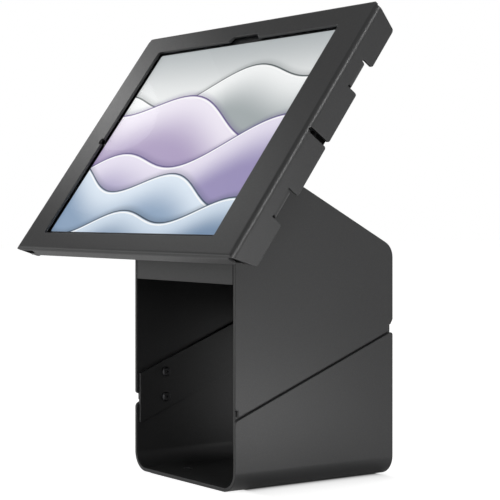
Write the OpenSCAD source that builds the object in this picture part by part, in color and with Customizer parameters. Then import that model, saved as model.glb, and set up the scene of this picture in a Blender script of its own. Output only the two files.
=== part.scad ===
// Tablet security kiosk stand: a split sheet metal stand that carries a locking tablet enclosure.
// Millimetres, Z up. The origin is the centre of the stand's footprint, on the table.

/* [Stand] */
// Outer width of the stand
stand_w = 119.6; // [112:0.2:128]
// Depth of the stand, front to back
stand_d = 127.4; // [120:0.2:136]
// Thickness of the stand's sheet metal
sheet_t = 2.3; // [1.6:0.1:3]
// Outer radius of the two bends along the floor
floor_bend_r = 13; // [8:0.5:16]
// Thickness of the rubber sheet under the floor
pad_t = 1; // [0.5:0.1:2]
// Distance of the rubber sheet from the floor's ends and bends
pad_inset = 3; // [1:0.5:6]
// Spacing of the bolt-down holes across the stand
bolt_x = 60; // [50:1:66]
// Spacing of the bolt-down holes front to back
bolt_y = 80; // [60:1:95]
// Radius of a bolt-down hole
bolt_hole_r = 2.75; // [2:0.05:3.5]
// Extra radius of the holes in the rubber sheet
pad_hole_extra = 2.5; // [1:0.1:4]

/* [Split between the shells] */
// Height of the split above the floor's underside, at the front edge
split_z = 45.4; // [41:0.2:50]
// Slope of the split, in degrees
split_angle = 21.8; // [19:0.1:23]
// Width of the split
split_gap = 1.5; // [0.8:0.1:2.4]
// Radius of the blunt front corner of the base shell
blunt_r = 3.5; // [2.5:0.1:6]
// Radius of the two sharp corners at the split
sharp_r = 1.8; // [1:0.1:2.2]
// Depth of the notch at the upper shell's front corners
front_notch = 2.4; // [2.2:0.1:3.2]
// Height of that notch above the split
front_rise = 5.2; // [4.5:0.1:7]
// Depth of the bend relief at the upper shell's back corners
back_relief = 4.1; // [3.4:0.1:5]
// Reach of that relief across the back
relief_x = 3.2; // [2.6:0.1:4]
// Height of that relief above the split
relief_rise = 2.8; // [2.4:0.1:4]
// Depth of the slant above the relief
slant_run = 2; // [1:0.1:2.4]
// Height of that slant
slant_rise = 3.4; // [2:0.1:4]
// How far the back sheet reaches down past the split
back_drop = 4.4; // [1:0.1:6]

/* [Upper shell] */
// Height of the sloping top above the floor's underside, at the front edge
top_z = 218.6; // [213:0.2:224]
// Slope of the top, in degrees
top_angle = 27.8; // [25:0.1:30]
// Outer radius of the bend between top and back
back_bend_r = 11.5; // [8:0.5:15]
// Height of the lower edge of the wings under the enclosure
wing_z = 146; // [144:0.5:149]
// Height of the lower edge of the lip
lip_z = 129.4; // [122:0.2:136]
// Gap between each end of the lip and the wall
lip_gap = 0.4; // [0.2:0.1:0.8]

/* [Splice plates] */
// Width of a splice plate, square to the split
splice_h = 31.2; // [28:0.2:34]
// Thickness of a splice plate
splice_t = 2.3; // [1.6:0.1:3]
// Height of the plate's middle above the middle of the split
splice_rise = 2.5; // [1:0.1:4]
// Distance of the plate from the front edges of the walls
splice_front = 1.5; // [1:0.1:2]
// Distance of the plate from the closed back
splice_back = 1.3; // [0.5:0.1:4]
// Distance of the screw pairs from the walls' front and back edges
screw_inset = 22; // [17:0.2:26]
// Spacing of the two screws of a pair
screw_pitch = 17.1; // [15:0.1:18.5]

/* [Screws] */
// Radius of the screw shanks
screw_r = 1.5; // [1.3:0.1:1.6]
// Radius of the screw heads
head_r = 3.2; // [2.8:0.1:3.4]
// Height of the screw heads
head_h = 1.6; // [1.3:0.1:2]
// Wall of a threaded boss
boss_wall = 0.7; // [0.5:0.1:0.8]

/* [Mount plate] */
// Distance of the mount plate's top edge above the upper enclosure screws
panel_margin = 12.5; // [9:0.5:16]
// Spacing of the four enclosure screws, both ways
plate_pitch = 75; // [70:1:80]
// Lower end of the side ears, measured up the enclosure
ear_low = 30; // [26:0.5:34]
// Upper end of the side ears, measured up the enclosure
ear_high = 70; // [66:0.5:74]
// Depth of the side ears behind the plate
ear_d = 18; // [15:0.5:21]
// Distance of the ear screws from the ears' ends
ear_screw_inset = 8; // [6:0.5:11]

/* [Enclosure] */
// Room inside the enclosure left of the tablet
left_gap = 7.8; // [6:0.1:10]
// Room inside the enclosure right of the tablet
right_gap = 5.7; // [4.5:0.1:8]
// Room inside the enclosure below the tablet
low_gap = 2.5; // [2.2:0.1:4]
// Room inside the enclosure above the tablet
top_gap = 6.5; // [5:0.1:9]
// Lean of the face, in degrees from level
tilt = 54.3; // [52:0.1:57]
// Distance of the face's lower edge in front of the stand
overhang = 53; // [49:0.1:55]
// Height of the face's lower edge above the floor's underside
edge_z = 149.3; // [147.5:0.1:153]
// Thickness of the bezel's sheet metal
bezel_t = 2; // [1.6:0.1:2.4]
// Outer radius of the bezel's side bends and of the tabs' bends
bend_r = 3.9; // [3:0.1:4.5]
// Outer radius of the bends along the bezel's top and bottom
edge_r = 2.5; // [2.5:0.1:4]
// Depth of the side flanges
flange_d = 18.6; // [17.5:0.1:21]
// How far the side flanges' ends slant in
flange_taper = 5.8; // [3:0.1:8]
// Radius of the side flanges' back corners
flange_corner_r = 2.5; // [1:0.1:4]
// Depth of the top and bottom flanges
short_flange_d = 8; // [6.5:0.1:8.5]
// Distance of the bottom flange's right end from the enclosure's side
low_end = 5.5; // [5:0.1:8]
// Distance of the bottom flange's left end from the enclosure's side
low_relief = 21.8; // [16:0.2:28]
// Distance of the top flange's ends from the enclosure's sides
top_relief = 13.5; // [12.5:0.1:18]
// How far the upper corners are cut off along the top edge
top_cut_x = 7.7; // [6:0.1:12]
// How far the upper corners are cut off down the sides
top_cut_b = 3.9; // [3:0.1:6]
// How far the bezel covers the display at its left
cover_left = 0.4; // [0.2:0.1:3]
// How far the bezel covers the display at its right
cover_right = 4.6; // [2:0.1:6]
// How far the bezel covers the display at its bottom
cover_low = 1.7; // [0.4:0.1:2.5]
// How far the bezel covers the display at its top
cover_top = 0.2; // [0.1:0.1:1.5]
// Corner radius of the window
window_r = 1.5; // [0.5:0.1:3]
// Width of the camera notch at the window's edge
notch_w = 34; // [24:0.5:40]
// Height of the camera notch
notch_h = 3.5; // [3:0.1:4]
// Radius of the round sensor notch
sensor_r = 2.3; // [1.5:0.1:3]
// Distance of the sensor notch's centre outside the window
sensor_out = 1.5; // [0.5:0.1:1.8]

/* [Hook tabs] */
// Spacing of the two tabs on a side flange
tab_pitch = 95; // [90:0.5:100]
// Height of the tabs' middle above the tablet's middle
tab_rise = 0.5; // [0:0.1:2]
// Width of the gap cut for a tab
tab_gap_w = 20.2; // [19:0.2:23]
// Width of a tab
tab_w = 17.6; // [15:0.2:18]
// Reach of a tab inwards from the enclosure's side
tab_reach = 11.5; // [9.5:0.1:13]
// Radius of the rounded mouths of the gaps and the cable slot
mouth_r = 1.6; // [1:0.1:3]
// Width of the cable slot in the right flange
slot_w = 3.3; // [2.5:0.1:4]
// Distance of the cable slot's closed end behind the face
slot_start = 2; // [1.2:0.1:5]
// Depth of the back plate's lip behind the cable slot
slot_lip_d = 5.7; // [4.5:0.1:6]
// How far that lip runs past the slot's edges
slot_lip_run = 2.4; // [1.5:0.1:2.5]
// Upward travel that frees the tabs
slide_travel = 30; // [29:0.5:34]
// Room round a freed tab in the back plate
free_gap = 1; // [0.6:0.1:2]

/* [Enclosure stack] */
// Thickness of the window gasket
gasket_t = 0.5; // [0.3:0.1:0.8]
// Width of the window gasket
gasket_w = 3.4; // [2.6:0.1:3.6]
// Distance of the gasket outside the window
gasket_out = 4; // [3.9:0.1:4.2]
// Thickness of the foam pads on the back plate
rear_pad_t = 1.2; // [0.8:0.1:1.6]
// Length of a foam pad on the back plate
rear_pad_l = 30; // [24:0.5:36]
// Width of a foam pad on the back plate
rear_pad_w = 20; // [16:0.5:24]
// Distance of the foam pads from the tablet's edges
rear_pad_inset = 24; // [16:0.5:28]
// Gap between the foam pads and the tablet
rear_gap = 0.3; // [0.2:0.1:0.6]
// Thickness of the back plate
back_plate_t = 1.8; // [1.4:0.1:2.2]
// Gap between the back plate and the hook tabs
tab_clear = 0.3; // [0.2:0.05:0.5]
// Gap between the back plate and the side flanges
plate_side_gap = 1.5; // [1.5:0.1:2.2]
// Distance of the back plate's ends from the enclosure's ends
plate_end_gap = 3; // [2.5:0.1:6]
// How far the back plate's upper corners are cut off
plate_corner = 6; // [4:0.5:8]
// Length of a foam cushion round the tablet
cushion_l = 18; // [12:0.5:22]

/* [Tablet] */
// Long side of the tablet
tablet_w = 248; // [244:0.5:250]
// Short side of the tablet
tablet_h = 176; // [172:0.5:178]
// Thickness of the tablet
tablet_t = 6.3; // [6.1:0.1:7]
// Corner radius of the tablet
tablet_r = 9; // [6:0.5:12]
// Thickness of the tablet's side wall
tablet_wall = 2.6; // [2.2:0.1:3]
// Thickness of the tablet's back
tablet_back = 0.9; // [0.7:0.1:1.1]
// Width of the metal rim round the glass
rim = 0.7; // [0.5:0.1:1]
// Thickness of the cover glass
glass_t = 0.7; // [0.5:0.1:0.9]
// Width of the border left and right of the display panel
border_x = 17.5; // [16:0.1:20]
// Width of the border above and below the display panel
border_b = 7.6; // [7.4:0.1:9]
// Thickness of the display panel
display_t = 1.2; // [0.9:0.1:1.3]
// Thickness of the circuit board
board_t = 0.6; // [0.4:0.1:0.6]
// Width of the charging port
port_w = 9; // [8:0.1:10]
// Height of the charging port
port_h = 3.2; // [2.8:0.1:3.3]

/* [Tablet buttons] */
// Length of a button
button_l = 10; // [8:0.5:12]
// Width of a button
button_w = 2.4; // [1.8:0.1:2.6]
// How far a button stands out of the tablet's edge
button_out = 0.6; // [0.5:0.1:0.9]
// Gap round a button
button_gap = 0.2; // [0.15:0.05:0.3]
// Height of the power button above the tablet's middle
power_up = 42; // [34:1:50]
// Distance of the first volume button from the tablet's left edge
volume_in = 26; // [20:1:40]
// Spacing of the two volume buttons
volume_pitch = 15; // [14:0.5:20]

/* [Cam lock] */
// Distance of the lock from the enclosure's right side
lock_inset = 41.7; // [38:0.1:44]
// Radius of the lock's threaded barrel
barrel_r = 9; // [8.4:0.1:9.4]
// Radius of the lock's turning plug
plug_r = 6; // [5.4:0.1:6.4]
// Depth of the lock bracket behind the back plate
bracket_d = 11; // [10:0.5:13]
// Thickness of the lock bracket
bracket_t = 1.6; // [1.2:0.1:2]
// Length of the lock bracket's foot
bracket_foot = 11; // [9:0.5:14]
// Distance of the lock bracket's leg below the barrel
bracket_leg_gap = 8; // [6.5:0.5:10]
// Thickness of the cam
cam_t = 2; // [1.6:0.1:2.2]
// Width of the cam's arm
cam_w = 9; // [8:0.2:10]
// Gap between the locked cam and the tab below it
cam_gap = 1.2; // [0.8:0.1:1.6]

/* [Hidden] */
$fn = 64;

charcoal = "#3b3c3e";
dark_steel = "#2a2b2d";
zinc = "#b9bcc0";
rubber_black = "#18181a";
silver = "#c9ccd0";

over = 1;              // how far a cut runs past what it cuts
fit = 0.05;            // gap of a threaded or turning fit, on the radius
loose = 0.25;          // gap of a clearance hole, on the radius
inner_w = stand_w - 2 * sheet_t;
inner_x = inner_w / 2;
floor_half = stand_w / 2 - floor_bend_r;
boss_r = screw_r + fit + boss_wall;
socket_r = 0.6 * screw_r + 0.2;
socket_depth = head_h / 2;
boss_shy = 0.1;        // how much shorter a boss is than the sheet it holds
shank_shy = 0.3;       // how much shorter a shank is than the sheet it clamps

// Depths behind the enclosure's front face, from the face to the back of the mount plate
glass_front = bezel_t + gasket_t;
tablet_rear = glass_front + tablet_t;
plate_front = tablet_rear + rear_gap + rear_pad_t;
plate_rear = plate_front + back_plate_t;
tab_rear = plate_rear + tab_clear + bezel_t;
panel_mid = plate_rear + sheet_t / 2;
panel_rear = plate_rear + sheet_t;
wing_d = plate_rear + lip_gap;
roof_d = panel_rear + lip_gap;
enc_left = tablet_w / 2 + left_gap + bezel_t;
enc_right = tablet_w / 2 + right_gap + bezel_t;
enc_h = tablet_h + low_gap + top_gap + 2 * bezel_t;
mid_b = bezel_t + low_gap + tablet_h / 2;
tab_low = mid_b + tab_rise - tab_pitch / 2;
tab_high = mid_b + tab_rise + tab_pitch / 2;
bend_in = bend_r - bezel_t;
panel_top = mid_b + plate_pitch / 2 + panel_margin;
// Distance of the enclosure's left or right side from the tablet's middle
function side_x(s) = s > 0 ? enc_right : enc_left;

// Tablet, seen on the enclosure's face
glass_rear = glass_front + glass_t;
display_rear = glass_rear + display_t;
tablet_floor_d = tablet_rear - tablet_back;
display_w = tablet_w - 2 * border_x;
display_h = tablet_h - 2 * border_b;
window_w = display_w - cover_left - cover_right;
window_h = display_h - cover_low - cover_top;
window_x = (cover_left - cover_right) / 2;
window_b = mid_b + (cover_low - cover_top) / 2;
cavity_w = tablet_w - 2 * tablet_wall;
cavity_h = tablet_h - 2 * tablet_wall;
tablet_mid_d = (glass_rear + tablet_floor_d) / 2;
tablet_top = mid_b + tablet_h / 2;
camera_r = 1.7;
camera_gap = 0.3;
camera_b = mid_b + display_h / 2 + camera_gap + camera_r;
camera_deep = 2.4;
battery_gap = 12;      // gap between the two battery cells
battery_margin = 14;   // distance of the cells from the display's outline
board_w = 9;
board_margin = 12;     // distance of the board's ends from the cavity's ends
board_top_d = tablet_floor_d - board_t;
port_l = 9;
port_wall = 0.4;
port_d = board_top_d - port_h / 2;
button_lip = 0.8;      // how far a button's inner flange stands out all round
button_lip_t = 0.6;
button_lip_gap = 0.1;

// Cam lock
lock_x = enc_right - lock_inset;
lock_b = tab_low + tab_w / 2 + cam_gap + cam_w / 2;
cam_lift = 0.5;        // gap between the back plate and the cam
cam_hub_wall = 1.5;
cam_side_gap = 1.5;    // gap between the locked cam's end and the side flange
cam_front = plate_rear + cam_lift;
cam_rear = cam_front + cam_t;
cam_hub_r = plug_r + cam_hub_wall;
cam_reach = lock_inset - bezel_t - cam_side_gap - cam_w / 2;
cam_square = plug_r * 1.1;
web_front = plate_rear + bracket_d;
web_rear = web_front + bracket_t;
barrel_lift = 0.6;     // gap between the cam and the barrel
barrel_lip = 2;        // how far the barrel's head stands out all round
barrel_front = cam_rear + barrel_lift;
barrel_head_r = barrel_r + barrel_lip;
barrel_head_t = 2.4;
plug_proud = 0.2;      // how far the plug stands out of the barrel's head
plug_rear = web_rear + barrel_head_t + plug_proud;
lock_nut_h = 4;
nut_wall = 3;
lock_nut_flat = 2 * (barrel_r + nut_wall);
bracket_rim = 1;       // margin of the bracket round the barrel's head
bracket_w = 2 * (barrel_head_r + bracket_rim);
bracket_leg_b = lock_b - barrel_r - bracket_leg_gap;
bracket_foot_b = bracket_leg_b - bracket_foot;
bracket_end_b = lock_b + barrel_head_r + bracket_rim;
rivet_b = bracket_leg_b - bracket_foot / 2;
rivet_x = [for (i = [-1, 1]) lock_x + i * bracket_w * 0.28];
rivet_r = 1.5;
rivet_head_r = 2.8;
rivet_head_h = 1;
cam_screw_r = 1.5;
cam_screw_l = 6;
cam_screw_head_r = 3.3;
cam_screw_head_h = 1.2;
cam_screw_room = 1.7;  // room round the cam screw's head
driver_slot = 0.8;
cam_screw_room_r = cam_screw_head_r + cam_screw_room;
key_slot = [1.4, 7, 5];

// Heights of the split's two edges and of the sloping top, at a distance y behind the front edge
split_half = split_gap / 2 / cos(split_angle);
function low_edge(y) = split_z - split_half + y * tan(split_angle);
function up_edge(y) = split_z + split_half + y * tan(split_angle);
function splice_mid(y) = split_z + splice_rise + y * tan(split_angle);
function top_at(y) = top_z - y * tan(top_angle);
front_top = up_edge(0) + front_rise;
back_low = up_edge(stand_d);
relief_z = back_low + relief_rise;
splice_end = stand_d - sheet_t - splice_back;

// A point b up the enclosure's face and d behind it, in the stand's side view
function side_pt(b, d) = [
  -overhang + b * cos(tilt) + d * sin(tilt),
  edge_z + b * sin(tilt) - d * cos(tilt)
];
// How far up the face a plane at depth d reaches a height z
function b_at_z(d, z) = (z - edge_z + d * cos(tilt)) / sin(tilt);
// How far up the face a plane at depth d meets the sloping top
function b_at_top(d) =
  (top_z - edge_z + overhang * tan(top_angle) + d * (cos(tilt) - sin(tilt) * tan(top_angle)))
  / (sin(tilt) + cos(tilt) * tan(top_angle));

// Places of the wall screws: distance behind the front edge and height
splice_spots = [
  for (y = [screw_inset, stand_d - screw_inset], k = [-0.5, 0.5]) [y, splice_mid(y) + k * screw_pitch]
];
ear_spots = [
  for (b = [ear_low + ear_screw_inset, ear_high - ear_screw_inset]) side_pt(b, panel_rear + ear_d / 2)
];
plate_spots = [for (i = [-0.5, 0.5], j = [-0.5, 0.5]) [i * plate_pitch, mid_b + j * plate_pitch]];
tab_spots = [for (s = [-1, 1], b = [tab_low, tab_high]) [s, b]];

// Moves a piece from the stand's own frame, whose zero is the front edge of the floor's underside
module in_stand() { translate([0, -stand_d / 2, pad_t]) children(); }
// Moves a piece from the enclosure's frame: x across, y up the face, z out of the face
module on_face() { in_stand() translate([0, -overhang, edge_z]) rotate([tilt, 0, 0]) children(); }
// Carries a side view outline (y, z) across from x0 to x1
module side_run(x0, x1) { translate([x0, 0, 0]) rotate([90, 0, 90]) linear_extrude(x1 - x0) children(); }
// Carries an outline (x, z) along y from y0 to y1
module front_run(y0, y1) { translate([0, y1, 0]) rotate([90, 0, 0]) linear_extrude(y1 - y0) children(); }
// Carries an outline (x, y) from depth d1 to depth d0 behind the face
module depth_run(d0, d1) { translate([0, 0, -d1]) linear_extrude(d1 - d0) children(); }
// Stands a piece on a wall's inner face, with its z axis pointing into the stand
module at_wall(side, spot) {
  translate([side * inner_x, spot[0], spot[1]]) rotate([0, -side * 90, 0]) children();
}

// What a rounding removes from a corner p between edges along the unit directions u and v
module corner_cut(p, u, v, r) {
  half = acos(u * v) / 2;
  mid = (u + v) / norm(u + v);
  run = r / tan(half);
  a = p + u * run;
  b = p + v * run;
  difference() {
    polygon([a, a - mid * over, p - mid * 2 * over, b - mid * over, b]);
    translate(p + mid * r / sin(half)) circle(r);
  }
}

// Rectangle with round corners, centred
module round_rect(w, h, r) {
  square([w, h - 2 * r], center = true);
  square([w - 2 * r, h], center = true);
  for (i = [-1, 1], j = [-1, 1]) translate([i * (w / 2 - r), j * (h / 2 - r)]) circle(r);
}

// Bar with half round ends, centred, lying along x
module pill(l, w) {
  square([l - w, w], center = true);
  for (s = [-1, 1]) translate([s * (l - w) / 2, 0]) circle(w / 2);
}

// Sheet of thickness t along a line of points, with round bends
module sheet_run(points, t) {
  for (i = [0 : len(points) - 2]) {
    step = points[i + 1] - points[i];
    translate(points[i]) rotate(atan2(step[1], step[0])) translate([0, -t / 2]) square([norm(step), t]);
  }
  for (i = [1 : len(points) - 2]) translate(points[i]) circle(t / 2);
}

// Everything in front of a plane at depth d behind the enclosure's face, in the side view
module before_plane(d) {
  reach = 3 * enc_h;
  translate(side_pt(0, d)) rotate(tilt) translate([-reach, 0]) square([2 * reach, reach]);
}

// Button-head screw whose head sits at z = 0 and whose shank runs down
module button_screw(shank) {
  crown = head_h / 2;
  difference() {
    union() {
      translate([0, 0, -shank]) cylinder(h = shank, r = screw_r);
      cylinder(h = head_h - crown, r = head_r);
      translate([0, 0, head_h - crown]) cylinder(h = crown, r1 = head_r, r2 = head_r - crown);
    }
    translate([0, 0, head_h - socket_depth]) cylinder(h = socket_depth + over, r = socket_r, $fn = 6);
  }
}

// Outline of the base shell's outside, or of its inside when inset is the sheet's thickness
module u_solid(inset) {
  half = stand_w / 2 - inset;
  r = floor_bend_r - inset;
  top = low_edge(stand_d) + over + inset;
  translate([-half, floor_bend_r]) square([2 * half, top - floor_bend_r]);
  translate([-floor_half, inset]) square([2 * floor_half, r + over]);
  for (s = [-1, 1]) translate([s * floor_half, floor_bend_r]) circle(r);
}

module bolt_holes(r, h) {
  for (i = [-0.5, 0.5], j = [-0.5, 0.5])
    translate([i * bolt_x, stand_d / 2 + j * bolt_y, -h / 2]) cylinder(h = h, r = r);
}

module base_shell() {
  back = stand_d + over;
  rise = low_edge(stand_d) + 2 * floor_bend_r;
  down = [0, -1];
  along = [cos(split_angle), sin(split_angle)];
  color(charcoal) in_stand() difference() {
    front_run(0, stand_d) difference() {
      u_solid(0);
      u_solid(sheet_t);
    }
    side_run(-stand_w, stand_w) {
      polygon([[-over, low_edge(-over)], [back, low_edge(back)], [back, rise], [-over, rise]]);
      corner_cut([0, low_edge(0)], down, along, blunt_r);
      corner_cut([stand_d, low_edge(stand_d)], down, -along, sharp_r);
    }
    bolt_holes(bolt_hole_r, 3 * sheet_t);
  }
}

module wall_outline() {
  up = [0, 1];
  slope = [-cos(top_angle), sin(top_angle)];
  run_y = stand_d - back_relief;
  difference() {
    polygon([
      [0, front_top], [front_notch, front_top], [front_notch, up_edge(front_notch)],
      [run_y, up_edge(run_y)], [run_y, relief_z], [stand_d - slant_run, relief_z],
      [stand_d, relief_z + slant_rise], [stand_d, top_at(stand_d)],
      side_pt(b_at_top(wing_d), wing_d), side_pt(b_at_z(wing_d, wing_z), wing_d), [0, wing_z]
    ]);
    corner_cut([0, front_top], up, [1, 0], sharp_r);
    corner_cut([stand_d, top_at(stand_d)], -up, slope, back_bend_r);
  }
}

// Region under the top and in front of the back, moved in by inset
module roof_region(inset) {
  drop = inset / cos(top_angle);
  front = -overhang - inset;
  back = stand_d - inset;
  low = back_low - back_drop - inset;
  difference() {
    polygon([[front, top_at(front) - drop], [back, top_at(back) - drop], [back, low], [front, low]]);
    corner_cut(
      [back, top_at(back) - drop], [0, -1], [-cos(top_angle), sin(top_angle)], back_bend_r - inset
    );
  }
}

module upper_shell() {
  color(charcoal) in_stand() {
    for (s = [-1, 1]) {
      x0 = s > 0 ? inner_x : -stand_w / 2;
      side_run(x0, x0 + sheet_t) wall_outline();
    }
    difference() {
      side_run(-inner_x - sheet_t / 2, inner_x + sheet_t / 2) difference() {
        roof_region(0);
        roof_region(sheet_t);
        before_plane(roof_d);
      }
      for (s = [-1, 1])
        translate([
          s > 0 ? stand_w / 2 - relief_x : -stand_w / 2, stand_d - back_relief, back_low - back_drop - over
        ]) cube([relief_x, back_relief + over, relief_rise + slant_rise + back_drop + over]);
    }
  }
}

module mount_plate() {
  half = inner_x - lip_gap;
  shelf_z = wing_z + sheet_t / 2;
  run = [
    [sheet_t / 2, lip_z], [sheet_t / 2, shelf_z],
    side_pt(b_at_z(panel_mid, shelf_z), panel_mid), side_pt(panel_top, panel_mid)
  ];
  color(charcoal) difference() {
    union() {
      in_stand() side_run(-half, half) sheet_run(run, sheet_t);
      on_face() for (s = [-1, 1])
        translate([s > 0 ? inner_x - sheet_t : -inner_x, ear_low, -panel_rear - ear_d])
          cube([sheet_t, ear_high - ear_low, ear_d + sheet_t / 2]);
    }
    on_face() for (spot = plate_spots)
      translate([spot[0], spot[1], -panel_rear - over]) cylinder(h = sheet_t + 2 * over, r = screw_r + loose);
    in_stand() for (s = [-1, 1], spot = ear_spots)
      at_wall(s, spot) translate([0, 0, -over]) cylinder(h = sheet_t + 2 * over, r = boss_r + loose);
  }
}

module splice_plate(side) {
  half = splice_h / 2 / cos(split_angle);
  x0 = side > 0 ? inner_x - splice_t : -inner_x;
  y0 = splice_front;
  y1 = splice_end;
  color(charcoal) in_stand() difference() {
    side_run(x0, x0 + splice_t) polygon([
      [y0, splice_mid(y0) - half], [y1, splice_mid(y1) - half],
      [y1, splice_mid(y1) + half], [y0, splice_mid(y0) + half]
    ]);
    for (spot = splice_spots)
      at_wall(side, spot) translate([0, 0, -over]) cylinder(h = splice_t + 2 * over, r = boss_r + loose);
  }
}
module splice_plate_left() { splice_plate(-1); }
module splice_plate_right() { splice_plate(1); }

module wall_boss(l) {
  difference() {
    cylinder(h = l, r = boss_r);
    translate([0, 0, -over]) cylinder(h = l + 2 * over, r = screw_r + fit);
  }
}

module wall_bosses() {
  color(zinc) in_stand() for (s = [-1, 1]) {
    for (spot = splice_spots) at_wall(s, spot) wall_boss(splice_t - boss_shy);
    for (spot = ear_spots) at_wall(s, spot) wall_boss(sheet_t - boss_shy);
  }
}

module wall_screws() {
  color(dark_steel) in_stand() for (s = [-1, 1]) {
    for (spot = splice_spots) at_wall(s, spot) translate([0, 0, splice_t]) button_screw(splice_t - shank_shy);
    for (spot = ear_spots) at_wall(s, spot) translate([0, 0, sheet_t]) button_screw(sheet_t - shank_shy);
  }
}

module base_pad() {
  color(rubber_black) in_stand() difference() {
    translate([-floor_half + pad_inset, pad_inset, -pad_t])
      cube([2 * (floor_half - pad_inset), stand_d - 2 * pad_inset, pad_t]);
    bolt_holes(bolt_hole_r + pad_hole_extra, 4 * pad_t);
  }
}

module back_plate() {
  edge = bezel_t + plate_side_gap;
  free_w = tab_w + 2 * free_gap;
  stop_gap = 0.1;
  stop_in = 1.5;       // how far a stop keeps off the inner end of its tab
  stop_l = tab_reach - stop_in - edge;
  left = enc_left - edge;
  color(charcoal) on_face() {
    difference() {
      translate([-left, plate_end_gap, -plate_rear])
        cube([left + enc_right - edge, enc_h - 2 * plate_end_gap, back_plate_t]);
      for (spot = tab_spots)
        translate([
          spot[0] > 0 ? enc_right - tab_reach - free_gap : -enc_left,
          spot[1] + slide_travel - free_w / 2, -plate_rear - over
        ]) cube([tab_reach + free_gap, free_w, back_plate_t + 2 * over]);
      for (spot = plate_spots)
        translate([spot[0], spot[1], -plate_rear - over])
          cylinder(h = back_plate_t + 2 * over, r = screw_r + fit);
      for (x = rivet_x)
        translate([x, rivet_b, -plate_rear - over])
          cylinder(h = back_plate_t + 2 * over, r = rivet_r + fit);
      translate([lock_x, lock_b, -plate_rear - over])
        cylinder(h = back_plate_t + 2 * over, r = cam_screw_room_r);
      for (x = [-left, enc_right - edge]) depth_run(plate_front - over, plate_rear + over)
        translate([x, enc_h - plate_end_gap]) rotate(45) square(plate_corner * sqrt(2), center = true);
    }
    for (spot = tab_spots)
      translate([
        spot[0] > 0 ? enc_right - edge - stop_l : -left,
        spot[1] - tab_w / 2 - stop_gap - back_plate_t, -tab_rear
      ]) cube([stop_l, back_plate_t, tab_rear - plate_rear + back_plate_t / 2]);
    translate([
      enc_right - edge - back_plate_t, mid_b - slot_w / 2 - slot_lip_run, -plate_rear - slot_lip_d
    ]) cube([back_plate_t, slot_w + 2 * slot_lip_run, slot_lip_d + back_plate_t / 2]);
  }
}

module plate_screws() {
  shank = sheet_t + back_plate_t - shank_shy;
  color(dark_steel) on_face() for (spot = plate_spots)
    translate([spot[0], spot[1], -panel_rear]) rotate([180, 0, 0]) button_screw(shank);
}

module rear_pads() {
  at_x = tablet_w / 2 - rear_pad_inset - rear_pad_l / 2;
  at_b = tablet_h / 2 - rear_pad_inset - rear_pad_w / 2;
  color(rubber_black) on_face() depth_run(plate_front - rear_pad_t, plate_front)
    for (i = [-1, 1], j = [-1, 1])
      translate([i * at_x, mid_b + j * at_b]) round_rect(rear_pad_l, rear_pad_w, rear_pad_w / 7);
}

// Outline of the side-flanged bezel in the plan of x and depth, or of its inside
module flange_outline(inset, d, r) {
  span = enc_left + enc_right - 2 * inset;
  translate([-enc_left + inset, 0]) {
    translate([0, -d]) square([span, d - r]);
    translate([r, -r - over]) square([span - 2 * r, r + over]);
    for (x = [r, span - r]) translate([x, -r]) circle(r);
  }
}

// Quarter bend of the bezel's sheet with a straight end, filling the corner at the origin
module bent_edge(d, r) {
  difference() {
    intersection() {
      translate([r, -r]) circle(r);
      translate([0, -r]) square(r);
    }
    translate([r, -r]) circle(r - bezel_t);
  }
  if (d > r) translate([0, -d]) square([bezel_t, d - r]);
}

// What is cut off a side flange's end, in the plan of y and depth, from a length away before it
module flange_end_cut(away) {
  lean = [flange_taper, -flange_d] / norm([flange_taper, flange_d]);
  tip = [flange_taper, -flange_d];
  polygon([[-away - over, 0], [0, 0], tip + lean * over, [-away - over, -flange_d - over]]);
  corner_cut(tip, -lean, [1, 0], flange_corner_r);
}

// Slot of width w that opens through a side flange's back edge, in the plan of y and depth
module flange_slot(w, start, end_r) {
  translate([-w / 2, -flange_d - over]) square([w, flange_d + over - start - end_r]);
  if (end_r > 0) translate([0, -start - end_r]) circle(end_r);
  corner_cut([-w / 2, -flange_d], [0, 1], [-1, 0], mouth_r);
  corner_cut([w / 2, -flange_d], [0, 1], [1, 0], mouth_r);
}

module window_outline() {
  translate([window_x, window_b]) round_rect(window_w, window_h, window_r);
  translate([0, window_b + window_h / 2]) polygon([
    [-notch_w / 2 - over, -over], [notch_w / 2 + over, -over],
    [notch_w / 2 - notch_h, notch_h], [-notch_w / 2 + notch_h, notch_h]
  ]);
  translate([window_x - window_w / 2 - sensor_out, mid_b]) circle(sensor_r);
}

module hook_tab(side) {
  mirror([side > 0 ? 0 : 1, 0, 0]) translate([side_x(side), 0, -tab_rear]) front_run(-tab_w / 2, tab_w / 2) {
    rotate(180) bent_edge(bend_r, bend_r);
    translate([-tab_reach, 0]) square([tab_reach - bend_r, bezel_t]);
  }
}

// What is cut off an upper corner of the bezel, in the plan of x and y, for the right side
module corner_relief() {
  polygon([
    [-top_cut_x, 0], [-top_cut_x, over], [over, over], [over, -top_cut_b], [0, -top_cut_b]
  ]);
}

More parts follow.
